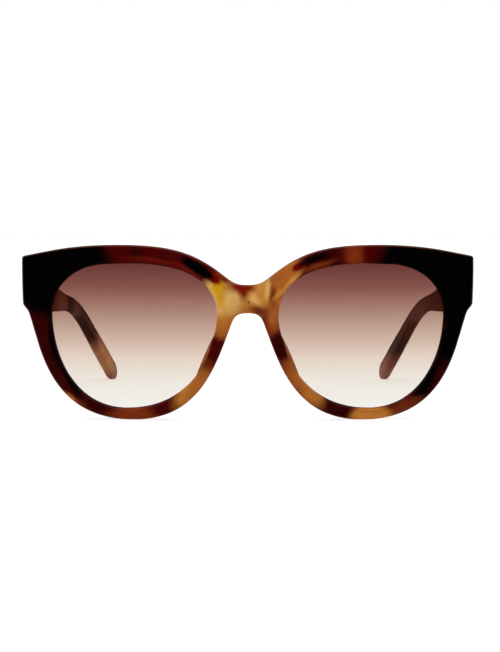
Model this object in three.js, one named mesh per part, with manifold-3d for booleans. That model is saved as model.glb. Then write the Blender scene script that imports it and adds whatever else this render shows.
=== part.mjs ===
// Cat eye sunglasses, temples open, standing on the two rims and the two temple tips.
// Millimetres. +X is the wearer's left, +Y runs from the front back to the temple tips, +Z is up.
// Everything is worked out for the left half (x > 0); the right half is its mirror image.

import * as THREE from 'three';
import { mergeVertices } from 'three/addons/utils/BufferGeometryUtils.js';
import Module from 'manifold-3d';

const wasm = await Module();
wasm.setup();

// ---- Driving dimensions ----

// Front: spherical lens curve, wrapped back by a few degrees around each eye centre.
const lensCurveRadius = 132.5;
const wrap = THREE.MathUtils.degToRad(7);
const eyeX = 35.9;
const eyeZ = 27;
const bridgeBlendX = 9;
const rimThickness = 4.6;
const edgeRound = 0.6;
const chamferWidth = 0.45;
const chamferDepth = 0.5;

// Rims and temple tips are cut flat at this height, so that they stand on small facets.
const standHeight = 0.08;

// Lens groove, in the middle of the rim's thickness, and the lens that sits in it.
const grooveMiddle = rimThickness / 2;
const grooveMouth = 1.15;
const grooveFloor = 0.8;
const grooveDepth = 0.85;
const lensThickness = 1.8;
const lensEdgeThickness = 1.1;
const lensReach = 0.6;

// Lug: the part of the front that thickens towards the temple and ends in a flat joint face.
const jointY = 18;
const lugInnerX = 61.6;
const lugFullX = 63.2;
const lugInnerZ = 33.6;
const lugFullZ = 37.2;
const lugTaper = 0.7;

// Temple: straight, then a bend of one radius, then a straight drop that leans inwards.
const templeGap = 0.3;
const templeOuterX = 71.8;
const templeThickness = 3.6;
const tipThickness = 4.4;
const templeJointZ = 42.8;
const templeSlope = THREE.MathUtils.degToRad(7.8);
const templeStraight = 88.5;
const bendRadius = 34;
const dropSlope = THREE.MathUtils.degToRad(44);
const dropLength = 29.3;
const leanStart = 42;
const leanFront = 0.002;
const leanDrop = 0.303;
const dropTwist = 0.04;
const templeHeights = [[0, 15.2], [43.5, 12.2], [88, 6.1], [111, 6], [139, 8.9]];
const templeSquareness = 3;

// Core wire inside the temple, and the channel that it lies in.
const wireWidth = 2.2;
const wireThickness = 1;
const fitGap = 0.15;
const wireStart = 1.4;
const wireEnd = 122;

// Hinge: three front knuckles, two temple knuckles, one vertical screw.
const axisX = 66.3;
const hingeMiddleZ = 43.6;
const knuckleRadius = 1.5;
const knuckleHeight = 1.5;
const boreRadius = 0.8;
const screwRadius = 0.72;
const plateDepth = 1.85;
const plateThickness = 0.9;
const frontPlate = { fromX: 63.4, toX: 68.0, height: 9.6 };
const foot = { width: 2.6, depth: 2.3, height: 4.4 };
const templePlate = { thickness: 0.85, fromY: 1.9, length: 7.6, height: 6.4 };
const templeWebLength = 3.2;
const screwHead = { radius: 1.15, height: 0.55, slotWidth: 0.3, slotDepth: 0.25 };

// Nose pad: a shaped block on the back of the nasal rim, with a flat bearing facet.
const padLowZ = 11.5;
const padHighZ = 29;
const padReach = 6.4;
const padSplay = 0.42;
const padMiddleZ = 20;
const padInset = 0.25;
const padFacetCut = 0.25;
const padFacetNormal = new THREE.Vector3(-0.86, 0.36, -0.36).normalize();

// ---- Small helpers ----

const lerp = THREE.MathUtils.lerp;
const ramp = (value, low, high) => THREE.MathUtils.smoothstep(value, low, high);

function toSolid(geometry) {
  const bare = geometry.clone();
  bare.deleteAttribute('normal');
  bare.deleteAttribute('uv');
  const merged = mergeVertices(bare, 1e-4);
  const mesh = new wasm.Mesh({
    numProp: 3,
    vertProperties: new Float32Array(merged.attributes.position.array),
    triVerts: new Uint32Array(merged.index.array),
  });
  return new wasm.Manifold(mesh);
}

function toGeometry(solid) {
  const mesh = solid.getMesh();
  const geometry = new THREE.BufferGeometry();
  geometry.setAttribute('position', new THREE.BufferAttribute(mesh.vertProperties, 3));
  geometry.setIndex(new THREE.BufferAttribute(mesh.triVerts, 1));
  return geometry;
}

function surface(points, triangles) {
  const geometry = new THREE.BufferGeometry();
  const numbers = points.flatMap((point) => [point.x, point.y, point.z]);
  geometry.setAttribute('position', new THREE.Float32BufferAttribute(numbers, 3));
  geometry.setIndex(triangles);
  return geometry;
}

function mirrored(geometry) {
  const copy = geometry.clone().scale(-1, 1, 1);
  const corner = copy.index.array;
  for (let i = 0; i < corner.length; i += 3) {
    [corner[i + 1], corner[i + 2]] = [corner[i + 2], corner[i + 1]];
  }
  return copy;
}

function block(fromX, toX, fromY, toY, fromZ, toZ) {
  const box = new THREE.BoxGeometry(toX - fromX, toY - fromY, toZ - fromZ);
  box.translate((fromX + toX) / 2, (fromY + toY) / 2, (fromZ + toZ) / 2);
  return toSolid(box);
}

function uprightCylinder(radius, fromZ, toZ, sides) {
  const cylinder = new THREE.CylinderGeometry(radius, radius, toZ - fromZ, sides);
  cylinder.rotateX(Math.PI / 2);
  cylinder.translate(axisX, jointY, (fromZ + toZ) / 2);
  return toSolid(cylinder);
}

// A skin over closed sections of equal point count, with a fan over each end.
function loft(sections) {
  const size = sections[0].length;
  const points = sections.flat();
  const triangles = [];
  for (let i = 0; i + 1 < sections.length; i += 1) {
    for (let k = 0; k < size; k += 1) {
      const a = i * size + k;
      const b = i * size + ((k + 1) % size);
      triangles.push(a, b, b + size, a, b + size, a + size);
    }
  }
  const last = (sections.length - 1) * size;
  for (let k = 1; k + 1 < size; k += 1) {
    triangles.push(0, k + 1, k, last, last + k, last + k + 1);
  }
  return surface(points, triangles);
}

// ---- Front curve ----

const eyeBow = (u) => Math.tan(wrap) * u + (u * u) / (2 * lensCurveRadius);
const bowSlope = (u) => Math.tan(wrap) + u / lensCurveRadius;
const foremost = eyeBow(-Math.tan(wrap) * lensCurveRadius);

// Depth of the front's face at a point seen from the front.
function faceY(x, z) {
  const side = Math.abs(x);
  let bow = eyeBow(side - eyeX);
  if (side < bridgeBlendX) {
    const edge = bridgeBlendX - eyeX;
    bow = eyeBow(edge) + (bowSlope(edge) * (side * side - bridgeBlendX ** 2)) / (2 * bridgeBlendX);
  }
  return bow - foremost + (z - eyeZ) ** 2 / (2 * lensCurveRadius);
}

// How far a point is into the lug: 0 on the plain rim, 1 on the flat joint face.
function lugShare(x, z) {
  return ramp(Math.abs(x), lugInnerX, lugFullX) * ramp(z, lugInnerZ, lugFullZ);
}

function backY(x, z) {
  return lerp(faceY(x, z) + rimThickness, jointY, lugShare(x, z));
}

// ---- Outlines of the left half of the front, in the X-Z plane ----

const flat = (x, z) => new THREE.Vector2(x, z);
const cubic = (a, b, c, d) => new THREE.CubicBezierCurve(a, b, c, d);

// Clockwise from the top of the bridge. Each run: curve, steps, and where its two ends look
// at the lens opening, as angles around the opening's middle.
const outerRuns = [
  [cubic(flat(0, 42.85), flat(4.6, 42.85), flat(4.9, 43.9), flat(9.8, 47.5)), 6, 157, 143],
  [cubic(flat(9.8, 47.5), flat(18.8, 54.1), flat(27, 55.5), flat(41, 55.5)), 10, 143, 82],
  [cubic(flat(41, 55.5), flat(54, 55.5), flat(62, 53.9), flat(71.3, 51.95)), 11, 82, 36],
  [cubic(flat(71.3, 51.95), flat(72, 51.8), flat(72.4, 51.5), flat(72.4, 50.8)), 2, 36, 33],
  [cubic(flat(72.4, 50.8), flat(72.4, 46), flat(72.2, 41), flat(72, 37)), 5, 33, 14],
  [cubic(flat(72, 37), flat(71.9, 35.6), flat(70.6, 35.4), flat(69.9, 33.4)), 4, 14, 8],
  [cubic(flat(69.9, 33.4), flat(69, 30.8), flat(68.4, 28.4), flat(67.5, 25.7)), 3, 8, -4],
  [cubic(flat(67.5, 25.7), flat(63.4, 11.3), flat(55.8, 0), flat(36.8, 0)), 14, -4, -88],
  [cubic(flat(36.8, 0), flat(16, 0), flat(10.6, 15.9), flat(5.7, 29.2)), 15, -88, -184],
  [cubic(flat(5.7, 29.2), flat(4.5, 32.6), flat(4, 34.1), flat(0, 34.1)), 5, -184, -192],
  [new THREE.LineCurve(flat(0, 34.1), flat(0, 42.85)), 5, -192, -203],
];
const openingMiddle = flat(36, 27);

function openingPath() {
  const path = new THREE.Path();
  path.moveTo(44, 49.95);
  path.bezierCurveTo(56.2, 49.95, 63, 41.8, 63, 34.1);
  path.bezierCurveTo(63, 18.5, 54.8, 3.1, 38.8, 3.1);
  path.bezierCurveTo(20.1, 3.1, 13, 17, 11.7, 22.4);
  path.bezierCurveTo(10.9, 25.2, 9.3, 28.5, 9.3, 33.2);
  path.bezierCurveTo(9.3, 53.5, 41, 49.95, 44, 49.95);
  return path;
}
const openingSamples = 720;
const openingPoints = openingPath().getSpacedPoints(openingSamples).slice(0, openingSamples);
const openingAngles = openingPoints.map((point) => point.clone().sub(openingMiddle).angle());

// The point of the opening's edge that is seen at one angle from the opening's middle.
function openingPoint(degrees) {
  const wanted = THREE.MathUtils.euclideanModulo(THREE.MathUtils.degToRad(degrees), 2 * Math.PI);
  let best = 0;
  let bestTurn = Infinity;
  openingAngles.forEach((angle, i) => {
    const turn = Math.abs(Math.atan2(Math.sin(angle - wanted), Math.cos(angle - wanted)));
    if (turn < bestTurn) {
      best = i;
      bestTurn = turn;
    }
  });
  const before = openingPoints.at(best - 1);
  const after = openingPoints[(best + 1) % openingSamples];
  const along = after.clone().sub(before).normalize();
  return { edge: openingPoints[best], outwards: flat(-along.y, along.x) };
}

// ---- Front frame ----

// One station joins a point of the outer outline to a point of the opening.
function frontStations() {
  const stations = [];
  outerRuns.forEach(([curve, steps, fromAngle, toAngle], run) => {
    const seam = run === outerRuns.length - 1;
    for (let i = 0; i < steps; i += 1) {
      const t = i / steps;
      const along = curve.getTangent(t);
      if (i === 0 && run > 0 && !seam) {
        along.add(outerRuns[run - 1][0].getTangent(1)).normalize();
      }
      let inwards = flat(along.y, -along.x);
      if (i === 0 && (run === 0 || seam)) {
        inwards = flat(0, run === 0 ? -1 : 1);
      }
      stations.push({
        outer: curve.getPoint(t),
        inwards,
        onSeam: seam || (i === 0 && run === 0),
        plain: seam && i > 0,
        opening: openingPoint(lerp(fromAngle, toAngle, t)),
      });
    }
  });
  return stations;
}

// The rim's section at one station, as a closed loop of points: opening wall, chamfer, face,
// rounded outer edge, lug or rim back, and the lens groove. The rounded edge is a quarter circle
// with one point half way round it.
const halfWayRound = 1 - Math.SQRT1_2;

function rimSection({ outer, inwards, plain, opening }) {
  const { edge, outwards } = opening;
  const wall = edge.clone().addScaledVector(outwards, -chamferWidth);
  const floor = edge.clone().addScaledVector(outwards, grooveDepth - chamferWidth);
  const round = plain ? 0 : edgeRound;
  const shoulder = outer.clone().addScaledVector(inwards, round);
  const nearEdge = outer.clone().addScaledVector(inwards, round * halfWayRound);
  const front = (at, depth) => new THREE.Vector3(at.x, faceY(at.x, at.y) + depth, at.y);
  const back = (at, height) => {
    const share = lugShare(at.x, at.y);
    return new THREE.Vector3(at.x - lugTaper * share, backY(at.x, at.y) - height, at.y);
  };
  const across = (share) => edge.clone().lerp(shoulder, share);
  return [
    front(wall, chamferDepth),
    front(edge, 0),
    front(across(0.5), 0),
    front(shoulder, 0),
    front(nearEdge, round * halfWayRound),
    front(outer, round),
    back(outer, round),
    back(nearEdge, round * halfWayRound),
    back(shoulder, 0),
    back(across(0.75), 0),
    back(across(0.5), 0),
    back(across(0.25), 0),
    back(edge, 0),
    front(wall, rimThickness - chamferDepth),
    front(wall, grooveMiddle + grooveMouth),
    front(floor, grooveMiddle + grooveFloor),
    front(floor, grooveMiddle - grooveFloor),
    front(wall, grooveMiddle - grooveMouth),
  ];
}

// The left half is an open skin that ends on the plane x = 0, where its mirror image closes it.
function halfFront() {
  const stations = frontStations();
  const sections = stations.map(rimSection);
  const size = sections[0].length;
  // The section's points from the face's shoulder to the back's lie on the seam itself.
  const [firstEdge, lastEdge] = [3, 8];
  const triangles = [];
  stations.forEach((station, i) => {
    const next = (i + 1) % stations.length;
    const bothOnSeam = station.onSeam && stations[next].onSeam;
    for (let k = 0; k < size; k += 1) {
      if (bothOnSeam && k >= firstEdge && k < lastEdge) continue;
      const after = (k + 1) % size;
      const [a, b] = [i * size + k, i * size + after];
      const [c, d] = [next * size + after, next * size + k];
      triangles.push(a, c, b, a, d, c);
    }
  });
  return surface(sections.flat(), triangles);
}

function wholeFront() {
  const half = halfFront();
  const other = mirrored(half);
  const count = half.attributes.position.count;
  const both = new THREE.BufferGeometry();
  const numbers = [...half.attributes.position.array, ...other.attributes.position.array];
  both.setAttribute('position', new THREE.Float32BufferAttribute(numbers, 3));
  both.setIndex([...half.index.array, ...Array.from(other.index.array, (corner) => corner + count)]);
  return toSolid(both);
}

// Pocket in the lug for the front leaf and the knuckles, with a deeper socket for its foot.
function hingePocket() {
  const half = frontPlate.height / 2 + fitGap;
  const floorY = jointY - plateDepth - plateThickness - fitGap;
  const footX = (frontPlate.fromX + frontPlate.toX) / 2;
  const pocket = block(
    frontPlate.fromX - fitGap, frontPlate.toX + fitGap,
    floorY, jointY + 2, hingeMiddleZ - half, hingeMiddleZ + half,
  );
  const socket = block(
    footX - foot.width / 2 - fitGap, footX + foot.width / 2 + fitGap,
    floorY - foot.depth - fitGap, floorY + 1,
    hingeMiddleZ - foot.height / 2 - fitGap, hingeMiddleZ + foot.height / 2 + fitGap,
  );
  return pocket.add(socket);
}

function frontFrame() {
  const pocket = toGeometry(hingePocket());
  const cut = wholeFront().subtract(toSolid(pocket)).subtract(toSolid(mirrored(pocket)));
  return toGeometry(cut.trimByPlane([0, 0, 1], standHeight));
}

// ---- Lens ----

function lens() {
  const count = 52;
  const rim = openingPath().getSpacedPoints(count).slice(0, count);
  const stations = rim.map((edge, i) => {
    const along = rim[(i + 1) % count].clone().sub(rim[(i + count - 1) % count]).normalize();
    return { edge, inwards: flat(-along.y, along.x).negate() };
  });
  const inset = chamferWidth - lensReach;
  const depthAt = (at, depth) => new THREE.Vector3(at.x, faceY(at.x, at.y) + depth, at.y);
  const frontDepth = grooveMiddle - lensThickness / 2;
  const backDepth = grooveMiddle + lensThickness / 2;
  const rings = [];
  const ring = (shrink, offset, depth) => {
    rings.push(stations.map(({ edge, inwards }) => {
      const at = edge.clone().addScaledVector(inwards, offset).lerp(openingMiddle, shrink);
      return depthAt(at, depth);
    }));
  };
  for (const shrink of [0.6, 0.3]) ring(shrink, chamferWidth, frontDepth);
  ring(0, chamferWidth, frontDepth);
  ring(0, inset, grooveMiddle - lensEdgeThickness / 2);
  ring(0, inset, grooveMiddle + lensEdgeThickness / 2);
  ring(0, chamferWidth, backDepth);
  for (const shrink of [0.3, 0.6]) ring(shrink, chamferWidth, backDepth);
  const points = rings.flat();
  const triangles = [];
  for (let i = 0; i + 1 < rings.length; i += 1) {
    for (let k = 0; k < count; k += 1) {
      const [a, b] = [i * count + k, i * count + ((k + 1) % count)];
      triangles.push(a, b, b + count, a, b + count, a + count);
    }
  }
  const last = (rings.length - 1) * count;
  const [frontHub, backHub] = [points.length, points.length + 1];
  points.push(depthAt(openingMiddle, frontDepth), depthAt(openingMiddle, backDepth));
  for (let k = 0; k < count; k += 1) {
    const next = (k + 1) % count;
    triangles.push(frontHub, next, k, backHub, last + k, last + next);
  }
  return surface(points, triangles);
}

// ---- Nose pad ----

// Where the outer outline passes a height, on the nose side of the rim.
function noseX(z) {
  const points = outerRuns[8][0].getPoints(200);
  const above = points.findIndex((point) => point.y >= z);
  return points[above].x;
}

function nosePad() {
  const sections = [];
  const steps = 12;
  for (let i = 0; i <= steps; i += 1) {
    const turn = (i / steps) * Math.PI;
    const z = lerp(padLowZ, padHighZ, (1 - Math.cos(turn)) / 2);
    const height = lerp(0.9, padReach, Math.sin(turn) ** 0.8);
    const x = noseX(z) + padInset;
    const y = backY(x + 1.5, z) + fitGap;
    const at = (across, reach) => new THREE.Vector3(x + across, y + reach * height, z);
    const rear = padSplay * height;
    sections.push([
      at(3.1, 0),
      at(3 + 0.4 * rear, 0.4),
      at(2.7 + 0.7 * rear, 0.72),
      at(2.1 + 0.84 * rear, 0.93),
      at(1.3 + 0.9 * rear, 1),
      at(0.5 + 0.92 * rear, 0.96),
      at(0.8 * rear, 0.8),
      at(0.4 * rear, 0.4),
      at(0, 0),
    ]);
  }
  const pad = toSolid(loft(sections));
  const away = padFacetNormal.clone().negate();
  return toGeometry(pad.trimByPlane(away.toArray(), away.dot(padFacetPoint())));
}

// A point of the plane that shaves the pad's nose side flat where the pad bears on the nose.
function padFacetPoint() {
  const x = noseX(padMiddleZ) + padInset;
  const reach = 0.45 * padReach;
  return new THREE.Vector3(
    x + padSplay * reach + padFacetCut,
    backY(x + 1.5, padMiddleZ) + fitGap + reach,
    padMiddleZ,
  );
}

// ---- Temple ----

const bendEnd = templeStraight + bendRadius * (dropSlope - templeSlope);
const templeLength = bendEnd + dropLength;

// Centre of the temple's section at a distance along it, and the slope of its path there.
function templePath(s) {
  const straight = Math.min(s, templeStraight);
  const turned = THREE.MathUtils.clamp((s - templeStraight) / bendRadius, 0, dropSlope - templeSlope);
  const dropped = Math.max(s - bendEnd, 0);
  const slope = templeSlope + turned;
  const alongY = straight * Math.cos(templeSlope)
    + bendRadius * (Math.sin(slope) - Math.sin(templeSlope)) + dropped * Math.cos(dropSlope);
  const down = straight * Math.sin(templeSlope)
    + bendRadius * (Math.cos(templeSlope) - Math.cos(slope)) + dropped * Math.sin(dropSlope);
  const leaning = THREE.MathUtils.clamp(s - leanStart, 0, bendEnd - leanStart);
  const growth = (leanDrop - leanFront) / (bendEnd - leanStart);
  const inwards = leanFront * s + (growth * leaning ** 2) / 2
    + Math.max(s - bendEnd, 0) * (leanDrop - leanFront);
  const centre = new THREE.Vector3(
    templeOuterX - templeThickness / 2 - inwards,
    jointY + templeGap + alongY,
    templeJointZ - down,
  );
  return { centre, slope: slope * ramp(s, 0, 9) };
}

function templeHeightAt(s) {
  const after = Math.max(templeHeights.findIndex(([at]) => at >= s), 1);
  const [fromS, fromHeight] = templeHeights[after - 1];
  const [toS, toHeight] = templeHeights[after] ?? templeHeights.at(-1);
  return lerp(fromHeight, toHeight, THREE.MathUtils.clamp((s - fromS) / (toS - fromS), 0, 1));
}

const templeThicknessAt = (s) => lerp(templeThickness, tipThickness, s / templeLength);

// A section of the temple or of anything inside it: half sizes, squareness, points.
function templeSection(s, halfThickness, halfHeight, squareness, count) {
  const { centre, slope } = templePath(s);
  const twist = dropTwist * ramp(s, leanStart, bendEnd);
  const section = [];
  for (let k = 0; k < count; k += 1) {
    const turn = (-(k + 0.5) / count) * 2 * Math.PI;
    const [c, n] = [Math.cos(turn), Math.sin(turn)];
    const across = halfThickness * Math.sign(c) * Math.abs(c) ** (2 / squareness);
    const up = halfHeight * Math.sign(n) * Math.abs(n) ** (2 / squareness);
    const sideways = across * Math.cos(twist) + up * Math.sin(twist);
    const raised = up * Math.cos(twist) - across * Math.sin(twist);
    section.push(new THREE.Vector3(
      centre.x + sideways,
      centre.y + raised * Math.sin(slope),
      centre.z + raised * Math.cos(slope),
    ));
  }
  return section;
}

function templeBody() {
  const sections = [];
  const tipRadius = templeHeights.at(-1)[1] / 2;
  const bodySteps = 22;
  for (let i = 0; i <= bodySteps; i += 1) {
    const s = (i / bodySteps) * (templeLength - tipRadius);
    const half = templeThicknessAt(s) / 2;
    sections.push(templeSection(s, half, templeHeightAt(s) / 2, templeSquareness, 14));
  }
  for (const turn of [0.3, 0.6, 0.82, 0.95]) {
    const s = templeLength - tipRadius * (1 - turn);
    const shrink = Math.sqrt(1 - turn ** 2);
    const half = (tipThickness / 2) * lerp(0.15, 1, shrink);
    sections.push(templeSection(s, half, tipRadius * shrink, templeSquareness, 14));
  }
  return toSolid(loft(sections));
}

// A square bar that follows the temple's path from one distance to another.
function innerBar(fromS, toS, thickness, width) {
  const sections = [];
  const steps = 16;
  for (let i = 0; i <= steps; i += 1) {
    const s = lerp(fromS, toS, i / steps);
    sections.push(templeSection(s, thickness * Math.SQRT1_2, width * Math.SQRT1_2, 2, 4));
  }
  return loft(sections);
}

function temple() {
  const channelWidth = wireWidth + 2 * fitGap;
  const channelThickness = wireThickness + 2 * fitGap;
  const channel = innerBar(-1, wireEnd + fitGap, channelThickness, channelWidth);
  return toGeometry(templeBody().subtract(toSolid(channel)).trimByPlane([0, 0, 1], standHeight));
}

const coreWire = () => innerBar(wireStart, wireEnd, wireThickness, wireWidth);

// ---- Hinge ----

// Bottom of one of the five knuckles, counted from 0 at the lowest.
const knucklePitch = knuckleHeight + fitGap;
const knuckleZ = (index) => hingeMiddleZ - knuckleHeight / 2 + (index - 2) * knucklePitch;

function knuckle(index, web) {
  const fromZ = knuckleZ(index);
  const toZ = fromZ + knuckleHeight;
  const barrel = uprightCylinder(knuckleRadius, fromZ, toZ, 20);
  return barrel.add(block(web.fromX, web.toX, web.fromY, web.toY, fromZ, toZ));
}

const boredOut = (solid) => solid.subtract(uprightCylinder(boreRadius, 35, 52, 20));

function hingeFrontLeaf() {
  const plateY = jointY - plateDepth;
  const half = frontPlate.height / 2;
  const footX = (frontPlate.fromX + frontPlate.toX) / 2;
  let leaf = block(
    frontPlate.fromX, frontPlate.toX, plateY - plateThickness, plateY,
    hingeMiddleZ - half, hingeMiddleZ + half,
  );
  leaf = leaf.add(block(
    footX - foot.width / 2, footX + foot.width / 2,
    plateY - plateThickness - foot.depth, plateY - plateThickness / 2,
    hingeMiddleZ - foot.height / 2, hingeMiddleZ + foot.height / 2,
  ));
  const web = {
    fromX: axisX - knuckleRadius,
    toX: axisX + knuckleRadius,
    fromY: plateY - 0.1,
    toY: jointY,
  };
  for (const index of [0, 2, 4]) leaf = leaf.add(knuckle(index, web));
  return toGeometry(boredOut(leaf));
}

function hingeTempleLeaf() {
  const innerX = templeOuterX - templeThickness;
  const plateX = innerX - fitGap - templePlate.thickness;
  const plate = new THREE.BoxGeometry(templePlate.thickness, templePlate.length, templePlate.height);
  plate.translate(plateX + templePlate.thickness / 2, templePlate.length / 2, 0);
  plate.rotateX(-templeSlope);
  plate.translate(0, jointY + templePlate.fromY, hingeMiddleZ);
  const web = {
    fromX: axisX,
    toX: plateX + templePlate.thickness,
    fromY: jointY,
    toY: jointY + templeWebLength,
  };
  let leaf = toSolid(plate);
  for (const index of [1, 3]) leaf = leaf.add(knuckle(index, web));
  return toGeometry(boredOut(leaf));
}

function hingeScrew() {
  const top = knuckleZ(4) + knuckleHeight + 0.05;
  const bottom = knuckleZ(0) - 0.3;
  const profile = [
    [0, bottom], [screwRadius - 0.2, bottom], [screwRadius, bottom + 0.2], [screwRadius, top],
    [screwHead.radius, top], [screwHead.radius, top + screwHead.height - 0.15],
    [screwHead.radius - 0.15, top + screwHead.height], [0, top + screwHead.height],
  ].map(([radius, z]) => flat(radius, z));
  const turned = new THREE.LatheGeometry(profile, 20);
  turned.rotateX(Math.PI / 2);
  turned.translate(axisX, jointY, 0);
  const slotBottom = top + screwHead.height - screwHead.slotDepth;
  const slot = block(
    axisX - 2, axisX + 2, jointY - screwHead.slotWidth / 2, jointY + screwHead.slotWidth / 2,
    slotBottom, slotBottom + 1,
  );
  return toGeometry(toSolid(turned).subtract(slot));
}

// ---- Assembly ----

const looks = {
  front: { color: 0x4a1e10, roughness: 0.18, metalness: 0 },
  temple: { color: 0x5a2a16, roughness: 0.2, metalness: 0 },
  pad: { color: 0x8a5a30, roughness: 0.25, metalness: 0 },
  lens: { color: 0xa07068, roughness: 0.05, metalness: 0, transparent: true, opacity: 0.6 },
  hinge: { color: 0xb8b4aa, roughness: 0.35, metalness: 1 },
  screw: { color: 0xcac6bc, roughness: 0.3, metalness: 1 },
  wire: { color: 0xb0aca4, roughness: 0.4, metalness: 1 },
};

const group = new THREE.Group();

function place(name, geometry, look) {
  const mesh = new THREE.Mesh(geometry, new THREE.MeshStandardMaterial(look));
  mesh.name = name;
  mesh.geometry.computeVertexNormals();
  group.add(mesh);
}

function placePair(name, geometry, look) {
  place(`${name}_left`, geometry, look);
  place(`${name}_right`, mirrored(geometry), look);
}

place('front_frame', frontFrame(), looks.front);
placePair('lens', lens(), looks.lens);
placePair('nose_pad', nosePad(), looks.pad);
placePair('hinge_front_leaf', hingeFrontLeaf(), looks.hinge);
placePair('hinge_temple_leaf', hingeTempleLeaf(), looks.hinge);
placePair('hinge_screw', hingeScrew(), looks.screw);
placePair('temple', temple(), looks.temple);
placePair('temple_core_wire', coreWire(), looks.wire);

// The origin is on the surface that the sunglasses stand on, midway from front to tips.
const box = new THREE.Box3().setFromObject(group);
group.position.set(0, -(box.min.y + box.max.y) / 2, -box.min.z);

export default group;
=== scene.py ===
# Cat eye sunglasses: the looks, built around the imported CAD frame.
# Shapes are worked out in millimetres in the part's own frame, then placed in metres.
import math

import bmesh
import bpy
import numpy as np
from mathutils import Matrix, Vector


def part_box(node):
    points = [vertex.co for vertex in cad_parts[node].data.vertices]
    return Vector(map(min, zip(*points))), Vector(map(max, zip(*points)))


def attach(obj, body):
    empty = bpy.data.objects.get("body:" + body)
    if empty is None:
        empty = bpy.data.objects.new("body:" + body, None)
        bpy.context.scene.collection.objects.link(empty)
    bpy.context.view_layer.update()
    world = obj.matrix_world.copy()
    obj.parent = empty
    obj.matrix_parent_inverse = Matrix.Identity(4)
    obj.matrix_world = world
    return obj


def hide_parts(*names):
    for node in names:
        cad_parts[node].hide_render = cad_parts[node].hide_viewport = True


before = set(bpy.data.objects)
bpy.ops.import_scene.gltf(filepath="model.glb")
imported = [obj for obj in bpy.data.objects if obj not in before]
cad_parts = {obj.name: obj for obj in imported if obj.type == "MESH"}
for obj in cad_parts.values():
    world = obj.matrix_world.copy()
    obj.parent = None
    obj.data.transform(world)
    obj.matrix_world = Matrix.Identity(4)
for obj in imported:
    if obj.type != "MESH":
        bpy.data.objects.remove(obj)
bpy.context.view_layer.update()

MM = 0.001

# ---- Driving dimensions in millimetres, matched to the CAD part's ----

LENS_CURVE = 132.5
WRAP = math.tan(math.radians(7))
EYE_X, EYE_Z = 35.9, 27
BRIDGE_BLEND = 9
RIM_THICKNESS = 4.6
EDGE_ROUND = 0.6
CHAMFER_WIDTH = 0.45
STAND_HEIGHT = 0.08

GROOVE_MIDDLE = RIM_THICKNESS / 2
GROOVE_MOUTH, GROOVE_FLOOR, GROOVE_DEPTH = 1.15, 0.8, 0.85
LENS_THICKNESS, LENS_EDGE, LENS_REACH = 1.8, 1.1, 0.6

JOINT_Y = 18
LUG_INNER_X, LUG_FULL_X = 61.6, 63.2
LUG_INNER_Z, LUG_FULL_Z = 33.6, 37.2
LUG_TAPER = 0.7

TEMPLE_GAP = 0.3
TEMPLE_OUTER_X = 71.8
TEMPLE_THICKNESS, TIP_THICKNESS = 3.6, 4.4
TEMPLE_JOINT_Z = 42.8
TEMPLE_SLOPE = math.radians(7.8)
TEMPLE_STRAIGHT = 88.5
BEND_RADIUS = 34
DROP_SLOPE = math.radians(44)
DROP_LENGTH = 29.3
LEAN_START, LEAN_FRONT, LEAN_DROP = 42, 0.002, 0.303
DROP_TWIST = 0.04
TEMPLE_HEIGHTS = ((0, 15.2), (43.5, 12.2), (88, 6.1), (111, 6), (139, 8.9))
TEMPLE_SQUARENESS = 3
WIRE_WIDTH, WIRE_THICKNESS, WIRE_END = 2.2, 1.0, 122
FIT_GAP = 0.15

AXIS_X = 66.3
HINGE_Z = 43.6
KNUCKLE_RADIUS, KNUCKLE_HEIGHT = 1.5, 1.5
BORE_RADIUS, SCREW_RADIUS = 0.8, 0.72
PLATE_DEPTH, PLATE_THICKNESS = 1.85, 0.9
PLATE_FROM_X, PLATE_TO_X, PLATE_HEIGHT = 63.4, 68.0, 9.6
FOOT_WIDTH, FOOT_DEPTH, FOOT_HEIGHT = 2.6, 2.3, 4.4
LEAF_THICKNESS, LEAF_FROM_Y, LEAF_LENGTH, LEAF_HEIGHT = 0.85, 1.9, 7.6, 6.4
TEMPLE_WEB_LENGTH = 3.2
SCREW_HEAD_RADIUS, SCREW_HEAD_HEIGHT, SCREW_HEAD_GAP = 1.15, 0.55, 0.05
SCREW_END_BELOW, SCREW_END_CHAMFER = 0.3, 0.2
# The floor is above the head's seat.
SLOT_WIDTH, SLOT_FLOOR = 0.3, 0.3

PAD_LOW_Z, PAD_HIGH_Z, PAD_REACH, PAD_SPLAY = 11.5, 29, 6.4, 0.42

# ---- Shaping of the visual model's own ----

# The temple's height is evened out over a reach that grows to this between two distances.
HEIGHT_REACH, REACH_FROM, REACH_TO = 8, 20, 45
# The temple is slimmer than the CAD part's through the bend, between these distances.
BEND_SLIMMING = 1
SLIM_FADE_IN, SLIM_FADE_OUT = (66, 92), (98, 126)
TIP_SQUARENESS = 2.3

# ---- Details of the meshes ----

# Share of its thickness that the temple's rounded tip keeps towards its very end.
TIP_END_SHARE = 0.15
LEAF_CORNER = 1.2
LEAF_ROUNDING, SCREW_ROUNDING = 0.1, 0.04
# How far past the opening's outline, towards its middle, the rim's back face runs.
BACK_LIP = 0.1
WELD_DISTANCE = 0.005
# Cuts reach past the piece that they cut: the bore's two heights, then distances.
BORE_FROM_Z, BORE_TO_Z = 35, 52
SLOT_REACH, POCKET_OPEN, SOCKET_OVERLAP = 2, 2, 1

# Points around, steps along and samples of the shapes.
LENS_SIDES = 160
BARREL_SIDES, SCREW_SIDES = 56, 48
TEMPLE_SECTION_POINTS, TEMPLE_STEPS, WIRE_STEPS = 48, 110, 30
NOSE_SAMPLES = 400

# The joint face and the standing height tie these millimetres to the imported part.
SHIFT_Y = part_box("front_frame")[1].y / MM - JOINT_Y


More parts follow.
